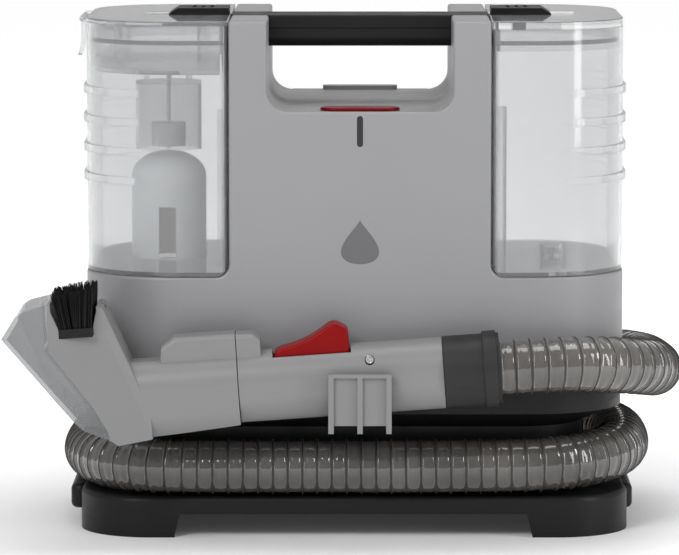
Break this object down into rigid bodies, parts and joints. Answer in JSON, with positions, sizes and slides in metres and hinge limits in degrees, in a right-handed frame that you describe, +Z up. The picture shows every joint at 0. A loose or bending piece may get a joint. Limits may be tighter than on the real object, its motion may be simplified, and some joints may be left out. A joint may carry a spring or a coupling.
{
  "type": "portable carpet cleaner",
  "caption": "Portable carpet cleaner with a grey casing, clear lift-out tanks, a carry handle, a ribbed suction hose wrapped around a black base and a hand tool with a brush nozzle.",
  "frame": {"origin": "on the floor under the middle of the carry handle, in the plane of the base's rest face", "axes": "+X to the machine's right as seen from its front, +Y towards its back, +Z up"},
  "size_m": [0.4594, 0.3303, 0.3536],
  "materials": {
    "casing_grey": "satin moulded plastic",
    "tool_grey": "satin moulded plastic",
    "black_plastic": "fine textured",
    "cuff_plastic": "soft matte",
    "clear_plastic": "clear, polished",
    "hose_plastic": "smoky clear ribbed",
    "red_plastic": "satin",
    "button_red": "satin",
    "white_plastic": "satin",
    "rubber": "matte",
    "steel": "bright",
    "motor_metal": "plain",
    "inner_plastic": "plain",
    "board_green": "solder mask",
    "lens_dark": "smoked lens",
    "brush_black": "stiff nylon"
  },
  "bodies": {
    "machine": {"base_core": "black_plastic", "base_tray": "black_plastic", "button_spring": "steel", "carry_handle": "black_plastic", "casing_front": "casing_grey", "casing_rear": "casing_grey", "casing_screws": "steel", "clean_tank_socket": "white_plastic", "control_board": "board_green", "cord_gland": "black_plastic", "dirty_tank_seal": "rubber", "exhaust_grille": "black_plastic", "fan_cover": "inner_plastic", "foot_pads": "rubber", "hose_ledge": "black_plastic", "hose_port": "black_plastic", "indicator_lens": "lens_dark", "motor_can": "motor_metal", "motor_ring": "rubber", "power_switch": "inner_plastic", "pump_body": "inner_plastic", "pump_inlet_tube": "inner_plastic", "suction_duct": "inner_plastic", "suction_hose": "hose_plastic", "tool_cradle": "tool_grey"},
    "dirty_tank": {"dirty_tank_shell": "clear_plastic", "intake_column": "white_plastic"},
    "dirty_lid_set": {"dirty_lid": "clear_plastic", "dirty_lid_gasket": "rubber", "separator_tray": "clear_plastic", "float_cage": "clear_plastic", "float_rod": "steel", "lid_clip_pin": "steel"},
    "dirty_lock": {"dirty_lid_lock": "black_plastic"},
    "clip": {"lid_clip": "clear_plastic"},
    "float_body": {"float": "white_plastic"},
    "clean_tank": {"clean_tank_shell": "clear_plastic"},
    "clean_lid_set": {"clean_lid": "clear_plastic", "clean_lid_gasket": "rubber"},
    "clean_lock": {"clean_lid_lock": "black_plastic"},
    "tank_valve": {"clean_tank_valve": "white_plastic"},
    "button": {"power_button": "button_red"},
    "rotor": {"motor_rotor": "motor_metal", "fan_impeller": "white_plastic"},
    "hand_tool": {"grip_front_shell": "tool_grey", "grip_rear_shell": "tool_grey", "trigger_pin": "steel", "trigger_spring": "steel", "valve_block": "inner_plastic"},
    "trigger_body": {"trigger": "red_plastic"},
    "plunger": {"valve_plunger": "inner_plastic"},
    "nozzle": {"nozzle_body": "tool_grey", "nozzle_window": "clear_plastic", "brush_block": "brush_black", "brush_bristles": "brush_black", "spray_tip": "inner_plastic"},
    "cuff": {"hose_cuff": "cuff_plastic"}
  },
  "joints": [
    {"name": "dirty_tank_lift", "type": "slide", "parent": "machine", "child": "dirty_tank", "axis": [0, 0, 1], "range_m": [0, 0.19]},
    {"name": "dirty_lid_lift", "type": "slide", "parent": "dirty_tank", "child": "dirty_lid_set", "axis": [0, 0, 1], "range_m": [0, 0.12]},
    {"name": "dirty_lock_slide", "type": "slide", "parent": "dirty_lid_set", "child": "dirty_lock", "axis": [-1, 0, 0], "range_m": [0, 0.015]},
    {"name": "lid_clip_hinge", "type": "hinge", "parent": "dirty_lid_set", "child": "clip", "pos_m": [-0.191, 0.007, 0.3456], "axis": [0, 1, 0], "range_deg": [0, 80]},
    {"name": "float_slide", "type": "slide", "parent": "dirty_lid_set", "child": "float_body", "axis": [0, 0, 1], "range_m": [0, 0.026]},
    {"name": "clean_tank_lift", "type": "slide", "parent": "machine", "child": "clean_tank", "axis": [0, 0, 1], "range_m": [0, 0.19]},
    {"name": "clean_lid_lift", "type": "slide", "parent": "clean_tank", "child": "clean_lid_set", "axis": [0, 0, 1], "range_m": [0, 0.08]},
    {"name": "clean_lock_slide", "type": "slide", "parent": "clean_lid_set", "child": "clean_lock", "axis": [1, 0, 0], "range_m": [0, 0.015]},
    {"name": "tank_valve_slide", "type": "slide", "parent": "clean_tank", "child": "tank_valve", "axis": [0, 0, 1], "range_m": [0, 0.003], "stiffness_N_per_m": 300, "springref_m": -0.003},
    {"name": "power_button_press", "type": "slide", "parent": "machine", "child": "button", "axis": [0, 0, -1], "range_m": [0, 0.0025], "stiffness_N_per_m": 800, "springref_m": -0.0015, "deforming": ["button_spring"]},
    {"name": "motor_spin", "type": "hinge", "parent": "machine", "child": "rotor", "pos_m": [0, 0, 0.16], "axis": [0, 0, 1], "continuous": true},
    {"name": "hand_tool_lift", "type": "slide", "parent": "machine", "child": "hand_tool", "axis": [0, 0, 1], "range_m": [0, 0.07], "deforming": ["suction_hose"]},
    {"name": "trigger_pull", "type": "hinge", "parent": "hand_tool", "child": "trigger_body", "pos_m": [-0.05195, -0.137, 0.1234], "axis": [0, 1, 0], "range_deg": [0, 5], "stiffness_Nm_per_rad": 0.9, "springref_deg": -6.88, "deforming": ["trigger_spring"]},
    {"name": "plunger_slide", "type": "slide", "parent": "hand_tool", "child": "plunger", "axis": [0.0698, 0, -0.9976], "range_m": [0, 0.0019]},
    {"name": "nozzle_pull_off", "type": "slide", "parent": "hand_tool", "child": "nozzle", "axis": [-0.9976, 0, -0.0698], "range_m": [0, 0.045]},
    {"name": "cuff_swivel", "type": "hinge", "parent": "hand_tool", "child": "cuff", "pos_m": [0.07076, -0.137, 0.11745], "axis": [0.9976, 0, 0.0698], "continuous": true}
  ],
  "couplings": [
    {"joint": "plunger_slide", "follows": "trigger_pull", "m_per_rad": 0.0208}
  ]
}
